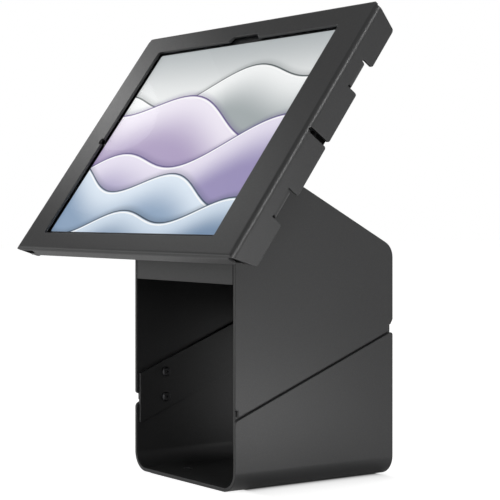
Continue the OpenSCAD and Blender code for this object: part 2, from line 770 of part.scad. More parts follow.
module bezel() {
  bend_d = tab_rear - bend_r;
  color(charcoal) on_face() difference() {
    union() {
      difference() {
        front_run(0, enc_h) difference() {
          flange_outline(0, flange_d, bend_r);
          translate([0, -bezel_t]) flange_outline(bezel_t, flange_d, bend_in);
        }
        for (m = [0, 1]) translate([0, m * enc_h, 0]) mirror([0, m, 0]) {
          side_run(-enc_left - over, enc_right + over) corner_cut([0, 0], [1, 0], [0, -1], edge_r);
          for (s = [-1, 1]) {
            x0 = s > 0 ? enc_right - bend_r : -enc_left - over;
            translate([0, m * top_cut_b, 0]) side_run(x0, x0 + bend_r + over) flange_end_cut(m * top_cut_b);
          }
        }
        for (spot = tab_spots) {
          x0 = spot[0] > 0 ? enc_right - bezel_t - over : -enc_left - over;
          translate([0, spot[1], 0]) side_run(x0, x0 + bezel_t + 2 * over) flange_slot(tab_gap_w, bend_d, 0);
        }
      }
      side_run(-enc_left + low_end, enc_right - low_end) bent_edge(edge_r, edge_r);
      side_run(-enc_left + low_relief, enc_right - low_end) bent_edge(short_flange_d, edge_r);
      translate([0, enc_h, 0]) mirror([0, 1, 0]) {
        side_run(-enc_left + top_cut_x, enc_right - top_cut_x) bent_edge(edge_r, edge_r);
        side_run(-enc_left + top_relief, enc_right - top_relief) bent_edge(short_flange_d, edge_r);
      }
      for (spot = tab_spots) translate([0, spot[1], 0]) hook_tab(spot[0]);
    }
    for (s = [-1, 1]) mirror([s > 0 ? 0 : 1, 0, 0])
      depth_run(-over, flange_d) translate([side_x(s), enc_h]) corner_relief();
    depth_run(-over, bezel_t + over / 2) window_outline();
    translate([0, mid_b, 0]) side_run(enc_right - bend_r - over, enc_right + over)
      flange_slot(slot_w, slot_start, slot_w / 2);
  }
}

module window_gasket() {
  in_w = window_w + 2 * gasket_out;
  in_h = window_h + 2 * gasket_out;
  color(rubber_black) on_face() depth_run(bezel_t, glass_front) translate([window_x, window_b]) difference() {
    round_rect(in_w + 2 * gasket_w, in_h + 2 * gasket_w, window_r + gasket_w);
    round_rect(in_w, in_h, window_r);
  }
}

module edge_cushions() {
  reach_x = tablet_w / 5;
  reach_b = tablet_h / 2 - tablet_r - cushion_l / 2;
  color(rubber_black) on_face() depth_run(bend_r, short_flange_d) translate([0, mid_b])
    for (i = [-1, 1]) {
      translate([-tablet_w / 2 - left_gap, i * reach_b - cushion_l / 2]) square([left_gap, cushion_l]);
      translate([tablet_w / 2, i * reach_b - cushion_l / 2]) square([right_gap, cushion_l]);
      translate([i * reach_x - cushion_l / 2, -tablet_h / 2 - low_gap]) square([cushion_l, low_gap]);
      translate([i * reach_x - cushion_l / 2, tablet_h / 2]) square([cushion_l, top_gap]);
    }
}

// Outline of a tablet layer that lies inset from the tablet's edge
module tablet_outline(inset) {
  translate([0, mid_b]) round_rect(tablet_w - 2 * inset, tablet_h - 2 * inset, tablet_r - inset);
}

// Places a piece on the tablet's edge: its z axis points out of the edge
module at_left_edge() {
  translate([-tablet_w / 2, mid_b + power_up, -tablet_mid_d]) rotate([0, -90, 0]) rotate(90) children();
}
module at_top_edge(i) {
  translate([-tablet_w / 2 + volume_in + i * volume_pitch, tablet_top, -tablet_mid_d])
    rotate([-90, 0, 0]) children();
}

module edge_button() {
  lip_top = -tablet_wall - button_lip_gap;
  translate([0, 0, lip_top]) linear_extrude(button_out - lip_top) pill(button_l, button_w);
  translate([0, 0, lip_top - button_lip_t]) linear_extrude(button_lip_t)
    pill(button_l + 2 * button_lip, button_w + 2 * button_lip);
}

module button_hole() {
  translate([0, 0, -tablet_wall - over]) linear_extrude(tablet_wall + 2 * over)
    pill(button_l + 2 * button_gap, button_w + 2 * button_gap);
}

module port_outline(grow) { pill(port_w + 2 * grow, port_h + 2 * grow); }

// Places a piece on the tablet's right edge, with its z axis pointing out of the edge
module at_port() {
  translate([tablet_w / 2, mid_b, -port_d]) rotate([0, 90, 0]) rotate(90) children();
}

module tablet_shell() {
  color(silver) on_face() difference() {
    depth_run(glass_front, tablet_rear) tablet_outline(0);
    depth_run(glass_front - over, glass_rear) tablet_outline(rim);
    depth_run(glass_front, tablet_floor_d) tablet_outline(tablet_wall);
    at_left_edge() button_hole();
    for (i = [0, 1]) at_top_edge(i) button_hole();
    at_port() translate([0, 0, -tablet_wall - over]) linear_extrude(tablet_wall + 2 * over) port_outline(fit);
  }
}

module tablet_glass() {
  color("#101114") on_face() depth_run(glass_front, glass_rear) tablet_outline(rim + fit);
}

module tablet_display() {
  color("#a9b2c8") on_face() depth_run(glass_rear, display_rear) translate([0, mid_b])
    square([display_w, display_h], center = true);
}

module tablet_battery() {
  cell_w = (display_w - battery_gap) / 2 - battery_margin;
  cell_h = display_h - 2 * battery_margin;
  lift = 0.2;
  color("#3a3f46") on_face() depth_run(display_rear + lift, tablet_floor_d)
    for (s = [-1, 1]) translate([s * (cell_w + battery_gap) / 2, mid_b]) round_rect(cell_w, cell_h, 2);
}

module tablet_board() {
  color("#1f3b2c") on_face() depth_run(board_top_d, tablet_floor_d)
    translate([cavity_w / 2 - board_w, mid_b - cavity_h / 2 + board_margin])
      square([board_w - 0.3, cavity_h - 2 * board_margin]);
}

module tablet_camera() {
  color("#0c0d10") on_face() depth_run(glass_rear, glass_rear + camera_deep)
    translate([0, camera_b]) circle(camera_r);
}

module charge_port() {
  tongue = [port_w - 4 * port_wall, port_h / 5];
  color("#8b8f94") on_face() at_port() translate([0, 0, -port_l]) {
    linear_extrude(port_l) difference() {
      port_outline(0);
      port_outline(-port_wall);
    }
    linear_extrude(port_wall) port_outline(0);
    linear_extrude(port_l - port_wall) square(tongue, center = true);
  }
}

module power_button() { color(silver) on_face() at_left_edge() edge_button(); }
module volume_up_button() { color(silver) on_face() at_top_edge(0) edge_button(); }
module volume_down_button() { color(silver) on_face() at_top_edge(1) edge_button(); }

// Moves a piece to the lock's axis; z still points out of the enclosure's face
module at_lock() { on_face() translate([lock_x, lock_b, 0]) children(); }

module lock_bracket() {
  foot_d = plate_rear + bracket_t / 2;
  web_d = web_front + bracket_t / 2;
  run = [
    [bracket_foot_b, -foot_d], [bracket_leg_b, -foot_d], [bracket_leg_b, -web_d], [bracket_end_b, -web_d]
  ];
  color(charcoal) difference() {
    on_face() side_run(lock_x - bracket_w / 2, lock_x + bracket_w / 2) sheet_run(run, bracket_t);
    at_lock() translate([0, 0, -web_rear - over]) cylinder(h = bracket_t + 2 * over, r = barrel_r + 2 * fit);
    on_face() for (x = rivet_x)
      translate([x, rivet_b, -plate_rear - bracket_t - over])
        cylinder(h = bracket_t + 2 * over, r = rivet_r + fit);
  }
}

module bracket_rivets() {
  color(zinc) on_face() for (x = rivet_x)
    translate([x, rivet_b, -plate_rear - bracket_t]) {
      cylinder(h = bracket_t + back_plate_t, r = rivet_r);
      translate([0, 0, -rivet_head_h]) cylinder(h = rivet_head_h, r1 = rivet_head_r / 2, r2 = rivet_head_r);
    }
}

module lock_barrel() {
  color(zinc) at_lock() difference() {
    union() {
      translate([0, 0, -web_rear]) cylinder(h = web_rear - barrel_front, r = barrel_r);
      translate([0, 0, -web_rear - barrel_head_t]) cylinder(h = barrel_head_t, r = barrel_head_r);
    }
    translate([0, 0, -web_rear - barrel_head_t - over])
      cylinder(h = web_rear + barrel_head_t + 2 * over, r = plug_r + fit);
  }
}

module lock_nut() {
  color(zinc) at_lock() translate([0, 0, -web_front]) difference() {
    cylinder(h = lock_nut_h, r = lock_nut_flat / 2 / cos(30), $fn = 6);
    translate([0, 0, -over]) cylinder(h = lock_nut_h + 2 * over, r = barrel_r + fit);
  }
}

module lock_plug() {
  boss_h = cam_t - boss_shy;
  color(silver) at_lock() difference() {
    union() {
      translate([0, 0, -plug_rear]) cylinder(h = plug_rear - cam_rear, r = plug_r);
      translate([-cam_square / 2, -cam_square / 2, -cam_rear]) cube([cam_square, cam_square, boss_h]);
    }
    translate([0, 0, -cam_rear - cam_screw_l])
      cylinder(h = cam_screw_l + cam_t + over, r = cam_screw_r + fit);
    translate([-key_slot[0] / 2, -key_slot[1] / 2, -plug_rear - over])
      cube([key_slot[0], key_slot[1], key_slot[2] + over]);
  }
}

module lock_cam() {
  hole = cam_square + 4 * fit;
  color(dark_steel) at_lock() depth_run(cam_front, cam_rear) difference() {
    union() {
      circle(cam_hub_r);
      translate([-cam_w / 2, 0]) square([cam_w, cam_reach]);
      translate([0, cam_reach]) circle(cam_w / 2);
    }
    square(hole, center = true);
  }
}

module cam_screw() {
  grip = cam_screw_l + cam_t - 2 * shank_shy;
  color(zinc) at_lock() translate([0, 0, -cam_front]) difference() {
    union() {
      translate([0, 0, -grip]) cylinder(h = grip, r = cam_screw_r);
      cylinder(h = cam_screw_head_h, r = cam_screw_head_r);
    }
    translate([-cam_screw_head_r, -driver_slot / 2, cam_screw_head_h / 2])
      cube([2 * cam_screw_head_r, driver_slot, cam_screw_head_h]);
  }
}

base_shell();
upper_shell();
mount_plate();
splice_plate_left();
splice_plate_right();
wall_bosses();
wall_screws();
base_pad();
back_plate();
plate_screws();
rear_pads();
lock_bracket();
bracket_rivets();
lock_barrel();
lock_nut();
lock_plug();
lock_cam();
cam_screw();
bezel();
window_gasket();
edge_cushions();
tablet_shell();
tablet_glass();
tablet_display();
tablet_battery();
tablet_board();
tablet_camera();
charge_port();
power_button();
volume_up_button();
volume_down_button();
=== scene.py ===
# Tablet kiosk stand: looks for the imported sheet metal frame, shown as a plain studio shot
import math
import bpy
import bmesh
import numpy as np
from mathutils import Matrix, Vector


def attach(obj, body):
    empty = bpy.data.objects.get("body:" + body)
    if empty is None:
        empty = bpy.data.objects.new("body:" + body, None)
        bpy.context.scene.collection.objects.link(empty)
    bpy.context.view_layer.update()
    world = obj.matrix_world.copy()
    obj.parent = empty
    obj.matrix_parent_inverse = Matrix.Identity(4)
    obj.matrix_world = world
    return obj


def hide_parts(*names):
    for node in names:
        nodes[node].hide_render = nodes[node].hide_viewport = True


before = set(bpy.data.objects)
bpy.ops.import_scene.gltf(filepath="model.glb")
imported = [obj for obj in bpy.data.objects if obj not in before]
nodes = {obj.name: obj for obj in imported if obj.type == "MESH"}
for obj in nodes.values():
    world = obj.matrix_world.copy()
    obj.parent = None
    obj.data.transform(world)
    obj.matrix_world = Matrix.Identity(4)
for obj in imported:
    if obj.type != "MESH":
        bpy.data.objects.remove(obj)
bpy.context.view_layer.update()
print("frame loaded:", len(nodes), "nodes")

# the enclosure's leaning face: a runs across it, b up it, d straight behind it, all in metres
lean = {"tilt": math.radians(54.3), "edgeY": -0.1167, "edgeZ": 0.1503, "midB": 0.0925,
        "left": 0.1338, "right": 0.1317, "high": 0.189}
leanCos, leanSin = math.cos(lean["tilt"]), math.sin(lean["tilt"])


def onFace(a, b, d):  # point = lower front edge + b along the slope + d along the inward normal
    a, b, d = np.broadcast_arrays(a, b, d)
    y = lean["edgeY"] + b * leanCos + d * leanSin
    z = lean["edgeZ"] + b * leanSin - d * leanCos
    return np.stack([a, y, z], -1)


def srgb(r, g, b):  # 0 to 255 screen values to linear light
    v = np.array([r, g, b]) / 255
    v = np.where(v > 0.04045, ((v + 0.055) / 1.055) ** 2.4, v / 12.92)
    return (*v.tolist(), 1.0)


white = (1, 1, 1, 1)


# shader helpers

def put(tree, kind, inputs=None, **props):  # one shader node; an input that is a socket becomes a link
    node = tree.nodes.new(kind)
    for key, value in props.items():
        setattr(node, key, value)
    for key, value in (inputs or {}).items():
        if isinstance(value, bpy.types.NodeSocket):
            tree.links.new(value, node.inputs[key])
        else:
            node.inputs[key].default_value = value
    return node


def sums(tree, operation, a, b=0.0, c=0.0, clamp=False):  # one Math node
    return put(tree, "ShaderNodeMath", {0: a, 1: b, 2: c}, operation=operation, use_clamp=clamp).outputs[0]


def ramp(tree, value, low, high, toLow=0.0, toHigh=1.0, smooth=True):  # low..high becomes toLow..toHigh
    kind = "SMOOTHSTEP" if smooth else "LINEAR"
    inputs = {0: value, 1: low, 2: high, 3: toLow, 4: toHigh}
    return put(tree, "ShaderNodeMapRange", inputs, interpolation_type=kind).outputs[0]


def blendColour(tree, factor, a, b):
    return put(tree, "ShaderNodeMix", {0: factor, 6: a, 7: b}, data_type="RGBA").outputs[2]


def blendValue(tree, factor, a, b):
    return put(tree, "ShaderNodeMix", {0: factor, 2: a, 3: b}).outputs[0]


def noise(tree, vector, scale, detail=2.0, rough=0.5):
    inputs = {"Vector": vector, "Scale": scale, "Detail": detail, "Roughness": rough}
    return put(tree, "ShaderNodeTexNoise", inputs).outputs[0]


def stretched(tree, vector, scale, turn=(0, 0, 0)):
    return put(tree, "ShaderNodeMapping", {"Vector": vector, "Rotation": turn, "Scale": scale}).outputs[0]


def newGroup(name, inputs, outputs):  # inputs and outputs are socket names with their kinds
    group = bpy.data.node_groups.new(name, "ShaderNodeTree")
    for side, sockets in (("INPUT", inputs), ("OUTPUT", outputs)):
        for label, kind in sockets.items():
            group.interface.new_socket(name=label, in_out=side, socket_type="NodeSocket" + kind)
    return group, group.nodes.new("NodeGroupInput").outputs, group.nodes.new("NodeGroupOutput").inputs


def useGroup(tree, group, inputs):
    return put(tree, "ShaderNodeGroup", inputs, node_tree=group).outputs


def newMaterial(name):  # the material, its tree, its shader and the Object coordinates
    mat = bpy.data.materials.new(name)
    mat.use_nodes = True
    tree = mat.node_tree
    tree.nodes.clear()
    out = tree.nodes.new("ShaderNodeOutputMaterial")
    bsdf = tree.nodes.new("ShaderNodeBsdfPrincipled")
    tree.links.new(bsdf.outputs[0], out.inputs["Surface"])
    place = put(tree, "ShaderNodeTexCoord").outputs["Object"]
    return mat, tree, bsdf, place


def bumpFrom(tree, bsdf, height, strength, distance):
    bump = put(tree, "ShaderNodeBump", {"Height": height, "Strength": strength, "Distance": distance})
    tree.links.new(bump.outputs[0], bsdf.inputs["Normal"])


# surface effects that several finishes share
grainIn = {"Vector": "Vector", "Dark": "Color", "Light": "Color"}
grainOut = {"Colour": "Color", "Roughness": "Float", "Height": "Float"}

# powder coat: pinhead grain over a slower orange peel, and a very faint cloud of tone
coatMix = {"peelSize": 0.3, "cloudScale": 11.0, "speck": (0.42, 0.74), "speckTone": 0.6, "cloudTone": 0.4,
           "peelRough": 0.16, "cloudRough": 0.08, "smoother": 0.12, "peelHeight": 0.8}


def makeCoatGroup():
    group, given, out = newGroup("coatGrain", {**grainIn, "Grain": "Float", "Gloss": "Float"}, grainOut)
    peelScale = sums(group, "MULTIPLY", given["Grain"], coatMix["peelSize"])
    fine = noise(group, given["Vector"], given["Grain"])
    peel = noise(group, given["Vector"], peelScale, detail=1.0)
    cloud = noise(group, given["Vector"], coatMix["cloudScale"], detail=3.0)
    speckTone = sums(group, "MULTIPLY", ramp(group, fine, *coatMix["speck"]), coatMix["speckTone"])
    tone = sums(group, "ADD", speckTone, sums(group, "MULTIPLY", cloud, coatMix["cloudTone"]))
    group.links.new(blendColour(group, tone, given["Dark"], given["Light"]), out["Colour"])
    rough = sums(group, "MULTIPLY_ADD", peel, coatMix["peelRough"], given["Gloss"])
    rough = sums(group, "MULTIPLY_ADD", cloud, coatMix["cloudRough"], rough)
    group.links.new(sums(group, "SUBTRACT", rough, coatMix["smoother"]), out["Roughness"])
    group.links.new(sums(group, "MULTIPLY_ADD", peel, coatMix["peelHeight"], fine), out["Height"])
    return group


# machined or plated metal: fine scratches of one direction and a patchy plating tone
metalMix = {"stretch": (0.06, 1.0, 1.0), "patchScale": 160.0, "lineTone": 0.5, "patchTone": 0.5,
            "lineRough": 0.2, "patchRough": 0.12}


def makeMetalGroup():
    group, given, out = newGroup("metalGrain", {**grainIn, "Lines": "Float", "Gloss": "Float"}, grainOut)
    drawn = stretched(group, given["Vector"], metalMix["stretch"])
    lines = noise(group, drawn, given["Lines"], detail=3.0, rough=0.6)
    patch = noise(group, given["Vector"], metalMix["patchScale"], detail=3.0)
    patchTone = sums(group, "MULTIPLY", patch, metalMix["patchTone"])
    tone = sums(group, "MULTIPLY_ADD", lines, metalMix["lineTone"], patchTone)
    group.links.new(blendColour(group, tone, given["Dark"], given["Light"]), out["Colour"])
    rough = sums(group, "MULTIPLY_ADD", lines, metalMix["lineRough"], given["Gloss"])
    group.links.new(sums(group, "MULTIPLY_ADD", patch, metalMix["patchRough"], rough), out["Roughness"])
    group.links.new(lines, out["Height"])
    return group


# foam and rubber: closed cells of two sizes, with painted shade darkening the pits
foamMix = {"softSize": 0.25, "pitDepthAndShade": (0.05, 0.6), "soft": (0.2, 0.8), "rough": (0.78, 0.95),
           "softHeight": 0.5}


def makeFoamGroup():
    group, given, out = newGroup("foamCells", {**grainIn, "Cells": "Float"}, grainOut)
    cells = put(group, "ShaderNodeTexVoronoi", {"Vector": given["Vector"], "Scale": given["Cells"]})
    pitDepthAndShade = ramp(group, cells.outputs["Distance"], *foamMix["pitDepthAndShade"])
    softScale = sums(group, "MULTIPLY", given["Cells"], foamMix["softSize"])
    soft = noise(group, given["Vector"], softScale, detail=3.0)
    # painted shade: the colour is darker in the pits, where the bump is deepest
    tone = sums(group, "MULTIPLY", pitDepthAndShade, soft)
    group.links.new(blendColour(group, tone, given["Dark"], given["Light"]), out["Colour"])
    rough = ramp(group, soft, *foamMix["soft"], *foamMix["rough"], smooth=False)
    group.links.new(rough, out["Roughness"])
    group.links.new(sums(group, "MULTIPLY_ADD", soft, foamMix["softHeight"], pitDepthAndShade), out["Height"])
    return group


coatGrain, metalGrain, foamCells = makeCoatGroup(), makeMetalGroup(), makeFoamGroup()
print("surface effects ready")

# finishes with one of the shared effects: its inputs, the strength of the bump, and its depth in metres
powders = {"effect": coatGrain, "depth": 0.00012, "metallic": 0.0, "looks": {
    "charcoalPowder": {"bump": 0.2, "shine": 0.5, "grain": {
        "Dark": (0.026, 0.0262, 0.0268, 1), "Light": (0.047, 0.0475, 0.0485, 1),
        "Grain": 2600.0, "Gloss": 0.38}},
}}
steels = {"effect": metalGrain, "depth": 0.00005, "metallic": 1.0, "looks": {
    "blackSteel": {"bump": 0.12, "shine": 0.5, "grain": {
        "Dark": (0.03, 0.03, 0.032, 1), "Light": (0.09, 0.09, 0.093, 1), "Lines": 2400.0, "Gloss": 0.28}},
    "zincPlate": {"bump": 0.1, "shine": 0.5, "grain": {
        "Dark": (0.42, 0.43, 0.46, 1), "Light": (0.66, 0.67, 0.68, 1), "Lines": 2600.0, "Gloss": 0.24}},
    "nickelPlate": {"bump": 0.08, "shine": 0.5, "grain": {
        "Dark": (0.52, 0.51, 0.48, 1), "Light": (0.74, 0.73, 0.7, 1), "Lines": 3400.0, "Gloss": 0.16}},
    "portSteel": {"bump": 0.1, "shine": 0.5, "grain": {
        "Dark": (0.3, 0.31, 0.32, 1), "Light": (0.5, 0.51, 0.52, 1), "Lines": 3200.0, "Gloss": 0.3}},
    "blastedAluminium": {"bump": 0.1, "shine": 0.5, "grain": {
        "Dark": (0.55, 0.56, 0.58, 1), "Light": (0.72, 0.73, 0.75, 1), "Lines": 5200.0, "Gloss": 0.32}},
}}
foams = {"effect": foamCells, "depth": 0.0002, "metallic": 0.0, "looks": {
    "blackFoam": {"bump": 0.5, "shine": 0.3, "grain": {
        "Dark": (0.008, 0.008, 0.009, 1), "Light": (0.035, 0.035, 0.037, 1), "Cells": 2200.0}},
    "padRubber": {"bump": 0.3, "shine": 0.3, "grain": {
        "Dark": (0.008, 0.008, 0.008, 1), "Light": (0.028, 0.028, 0.029, 1), "Cells": 900.0}},
    # near black, darker than any rubber: painted shade in the cable slot
    "slotPaintedShade": {"bump": 0.3, "shine": 0.05, "grain": {
        "Dark": (0.001, 0.001, 0.001, 1), "Light": (0.004, 0.004, 0.004, 1), "Cells": 1500.0}},
}}


def makeGrained(name, family):  # colour, roughness and bump from the family's effect
    mat, tree, bsdf, place = newMaterial(name)
    look = family["looks"][name]
    surface = useGroup(tree, family["effect"], {"Vector": place, **look["grain"]})
    bsdf.inputs["Metallic"].default_value = family["metallic"]
    bsdf.inputs["Specular IOR Level"].default_value = look["shine"]
    tree.links.new(surface["Colour"], bsdf.inputs["Base Color"])
    tree.links.new(surface["Roughness"], bsdf.inputs["Roughness"])
    bumpFrom(tree, bsdf, surface["Height"], look["bump"], family["depth"])
    return mat


# clear cover glass with faint wipe marks in its gloss, coated against mirror images
glassLook = {"turn": (0.3, 0.2, 0.6), "stretch": (40.0, 9.0, 9.0), "marks": (0.35, 0.75),
             "rough": (0.015, 0.05), "ior": 1.06}


def makeGlass():
    mat, tree, bsdf, place = newMaterial("coverGlass")
    wipe = noise(tree, stretched(tree, place, glassLook["stretch"], glassLook["turn"]), 1.0, detail=3.0)
    tree.links.new(ramp(tree, wipe, *glassLook["marks"], *glassLook["rough"]), bsdf.inputs["Roughness"])
    bsdf.inputs["Base Color"].default_value = white
    bsdf.inputs["Transmission Weight"].default_value = 1.0
    bsdf.inputs["IOR"].default_value = glassLook["ior"]
    return mat


def twoTone(tree, bsdf, pattern, look, smooth):  # one pattern sets colour and roughness
    tree.links.new(blendColour(tree, pattern, look["dark"], look["light"]), bsdf.inputs["Base Color"])
    rough = ramp(tree, pattern, *look["spread"], *look["rough"], smooth=smooth)
    tree.links.new(rough, bsdf.inputs["Roughness"])


# printed border behind the glass
inkLook = {"scale": 900.0, "dark": (0.004, 0.004, 0.005, 1), "light": (0.009, 0.009, 0.01, 1),
           "spread": (0.2, 0.8), "rough": (0.35, 0.5)}


def makeInk():
    mat, tree, bsdf, place = newMaterial("borderInk")
    twoTone(tree, bsdf, noise(tree, place, inkLook["scale"]), inkLook, smooth=False)
    return mat


# camera window: near black with a blue cast under a clear coat
lensLook = {"scale": 700.0, "dark": (0.004, 0.004, 0.006, 1), "light": (0.012, 0.012, 0.03, 1),
            "spread": (0.2, 0.8), "rough": (0.05, 0.14), "coat": 0.6}


def makeLens():
    mat, tree, bsdf, place = newMaterial("cameraLens")
    twoTone(tree, bsdf, noise(tree, place, lensLook["scale"]), lensLook, smooth=False)
    bsdf.inputs["Coat Weight"].default_value = lensLook["coat"]
    return mat


# dark film round the battery cells, with soft creases
wrapLook = {"stretch": (30.0, 240.0, 240.0),
            "dark": (0.018, 0.02, 0.023, 1), "light": (0.05, 0.054, 0.06, 1),
            "spread": (0.3, 0.7), "rough": (0.3, 0.5), "bump": 0.3, "depth": 0.0002}


def makeCellWrap():
    mat, tree, bsdf, place = newMaterial("cellWrap")
    crease = noise(tree, stretched(tree, place, wrapLook["stretch"]), 1.0, detail=4.0)
    twoTone(tree, bsdf, crease, wrapLook, smooth=True)
    bumpFrom(tree, bsdf, crease, wrapLook["bump"], wrapLook["depth"])
    return mat


# green solder mask with a brick grid of copper runs
boardLook = {"bump": 0.3, "depth": 0.0001, "rough": (0.5, 0.3), "bricks": {
    "Scale": 420.0, "Mortar Size": 0.06, "Color1": (0.008, 0.05, 0.03, 1),
    "Color2": (0.012, 0.07, 0.04, 1), "Mortar": (0.05, 0.13, 0.07, 1)}}


def makeBoard():
    mat, tree, bsdf, place = newMaterial("circuitBoard")
    runs = put(tree, "ShaderNodeTexBrick", {"Vector": place, **boardLook["bricks"]}).outputs
    tree.links.new(runs["Color"], bsdf.inputs["Base Color"])
    tree.links.new(ramp(tree, runs["Fac"], 0.0, 1.0, *boardLook["rough"]), bsdf.inputs["Roughness"])
    bumpFrom(tree, bsdf, runs["Fac"], boardLook["bump"], boardLook["depth"])
    return mat


# picture on the screen: rolling bands of silver, lilac and pale blue, each with a thin dark rim
screenLook = {
    "panel": (0.01, 0.01, 0.01, 1), "rough": 0.4, "glow": 0.92,
    "sky": (0.03, 0.085), "skyLow": srgb(236, 238, 238), "skyTop": srgb(176, 182, 184),
    "bands": [
        {"Level": 0.044, "Slope": 0.10, "Swell": 0.0110, "Length": 0.150, "Phase": 0.4, "Deep At": 0.040,
         "Rim": srgb(246, 248, 248), "Deep": srgb(160, 168, 170), "Line": srgb(62, 74, 76)},
        {"Level": 0.020, "Slope": -0.16, "Swell": 0.0130, "Length": 0.190, "Phase": 2.2, "Deep At": 0.044,
         "Rim": srgb(240, 234, 246), "Deep": srgb(168, 152, 190), "Line": srgb(84, 62, 128)},
        {"Level": -0.012, "Slope": 0.14, "Swell": 0.0120, "Length": 0.170, "Phase": 4.4, "Deep At": 0.040,
         "Rim": srgb(232, 226, 242), "Deep": srgb(150, 140, 184), "Line": srgb(70, 56, 120)},
        {"Level": -0.038, "Slope": -0.10, "Swell": 0.0100, "Length": 0.140, "Phase": 1.0, "Deep At": 0.032,
         "Rim": srgb(222, 234, 246), "Deep": srgb(138, 162, 190), "Line": srgb(46, 66, 92)},
        {"Level": -0.063, "Slope": 0.08, "Swell": 0.0070, "Length": 0.120, "Phase": 3.0, "Deep At": 0.026,
         "Rim": srgb(212, 226, 240), "Deep": srgb(112, 138, 168), "Line": srgb(34, 58, 78)},
    ],
}
# at a band's edge, in metres: its softness, its dark line, a bright glint, its shade on the band behind
bandEdge = {"soft": 0.0002, "line": 0.0009, "glintAt": 0.0016, "glint": 0.0009,
            "shade": 0.006, "shadeShare": 0.35}


def makeBandGroup():  # band edge: up = level + slope * across + swell * sin(2 pi across / length + phase)
    values = ("Across", "Up", "Level", "Slope", "Swell", "Length", "Phase", "Deep At")
    colours = ("Behind", "Rim", "Deep", "Line")
    inputs = {**dict.fromkeys(values, "Float"), **dict.fromkeys(colours, "Color")}
    group, given, out = newGroup("screenBand", inputs, {"Colour": "Color"})
    turns = sums(group, "DIVIDE", given["Across"], given["Length"])
    angle = sums(group, "MULTIPLY_ADD", turns, 2 * math.pi, given["Phase"])
    edge = sums(group, "MULTIPLY_ADD", sums(group, "SINE", angle), given["Swell"], given["Level"])
    edge = sums(group, "MULTIPLY_ADD", given["Across"], given["Slope"], edge)
    under = sums(group, "SUBTRACT", edge, given["Up"])  # distance below the band's edge

    def streak(distance, low, high):  # 1 on a line, 0 away from it
        away = ramp(group, sums(group, "ABSOLUTE", distance), low, high)
        return sums(group, "SUBTRACT", 1.0, away, clamp=True)

    soft = bandEdge["soft"]
    fade = ramp(group, sums(group, "DIVIDE", under, given["Deep At"]), 0.0, 1.0)
    body = blendColour(group, fade, given["Rim"], given["Deep"])
    glint = streak(sums(group, "SUBTRACT", under, bandEdge["glintAt"]), 0.0, bandEdge["glint"])
    body = blendColour(group, glint, body, white)
    shown = blendColour(group, ramp(group, under, -soft, soft), given["Behind"], body)
    nearing = ramp(group, under, -bandEdge["shade"], 0.0, 0.0, bandEdge["shadeShare"])
    shade = sums(group, "MULTIPLY", nearing, ramp(group, under, 0.0, soft, 1.0, 0.0))
    shown = blendColour(group, shade, shown, given["Line"])
    line = streak(under, soft, bandEdge["line"])
    group.links.new(blendColour(group, line, shown, given["Line"]), out["Colour"])
    return group


def makeScreen():  # flat axes with the screen's middle at 0, then the sky and the bands
    mat, tree, bsdf, place = newMaterial("litScreen")
    group = makeBandGroup()
    drop = lean["edgeY"] * leanCos + lean["edgeZ"] * leanSin + lean["midB"]
    laidFlat = {"Vector": place, "Rotation": (-lean["tilt"], 0, 0), "Location": (0, -drop, 0)}
    flat = put(tree, "ShaderNodeMapping", laidFlat).outputs[0]
    across, up, _ = put(tree, "ShaderNodeSeparateXYZ", {0: flat}).outputs
    fade = ramp(tree, up, *screenLook["sky"])
    colour = blendColour(tree, fade, screenLook["skyLow"], screenLook["skyTop"])
    for band in screenLook["bands"]:
        colour = useGroup(tree, group, {"Behind": colour, "Across": across, "Up": up, **band})["Colour"]
    bsdf.inputs["Base Color"].default_value = screenLook["panel"]
    bsdf.inputs["Roughness"].default_value = screenLook["rough"]
    tree.links.new(colour, bsdf.inputs["Emission Color"])
    bsdf.inputs["Emission Strength"].default_value = screenLook["glow"]
    return mat


finishes = {}
for family in (powders, steels, foams):
    finishes.update({name: makeGrained(name, family) for name in family["looks"]})
finishes.update(
    coverGlass=makeGlass(), borderInk=makeInk(), cameraLens=makeLens(), cellWrap=makeCellWrap(),
    circuitBoard=makeBoard(), litScreen=makeScreen())

finishNodes = {
    "charcoalPowder": ("base_shell", "upper_shell", "mount_plate", "splice_plate_left",
                       "splice_plate_right", "back_plate", "lock_bracket", "bezel"),
    "blackSteel": ("wall_screws", "plate_screws", "lock_cam"),
    "zincPlate": ("wall_bosses", "bracket_rivets", "lock_barrel", "lock_nut", "cam_screw"),
    "nickelPlate": ("lock_plug",),
    "padRubber": ("base_pad",),
    "blackFoam": ("rear_pads", "window_gasket", "edge_cushions"),
    "blastedAluminium": ("tablet_shell", "power_button", "volume_up_button", "volume_down_button"),
    "coverGlass": ("tablet_glass",),
    "litScreen": ("tablet_display",),
    "cellWrap": ("tablet_battery",),
    "circuitBoard": ("tablet_board",),
    "cameraLens": ("tablet_camera",),
    "portSteel": ("charge_port",),
}


def wear(mesh, finish):
    mesh.materials.clear()
    mesh.materials.append(finishes[finish])


for finish, names in finishNodes.items():
    for name in names:
        wear(nodes[name].data, finish)
print("materials on", sum(len(names) for names in finishNodes.values()), "nodes")


# pieces

def addPiece(name, mesh, body, finish):
    piece = bpy.data.objects.new(name, mesh)
    bpy.context.scene.collection.objects.link(piece)
    wear(mesh, finish)
    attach(piece, body)
    return piece


# bent sheet with broken edges: the node's own outline with its sharp edges rounded by this width
sheetEdges = {
    "base_shell": {"body": "stand", "width": 0.00045},
    "upper_shell": {"body": "stand", "width": 0.00045},
    "mount_plate": {"body": "stand", "width": 0.0004},
    "splice_plate_left": {"body": "stand", "width": 0.0004},
    "splice_plate_right": {"body": "stand", "width": 0.0004},
    "bezel": {"body": "cover", "width": 0.0004},
}
# merge distance in metres, and angles in degrees: faces this flat are joined, edges this sharp are rounded,
# and faces within the shading angle of each other share their light
sheetWork = {"merge": 2e-6, "flat": 0.4, "sharp": 35, "shade": 34, "segments": 3}
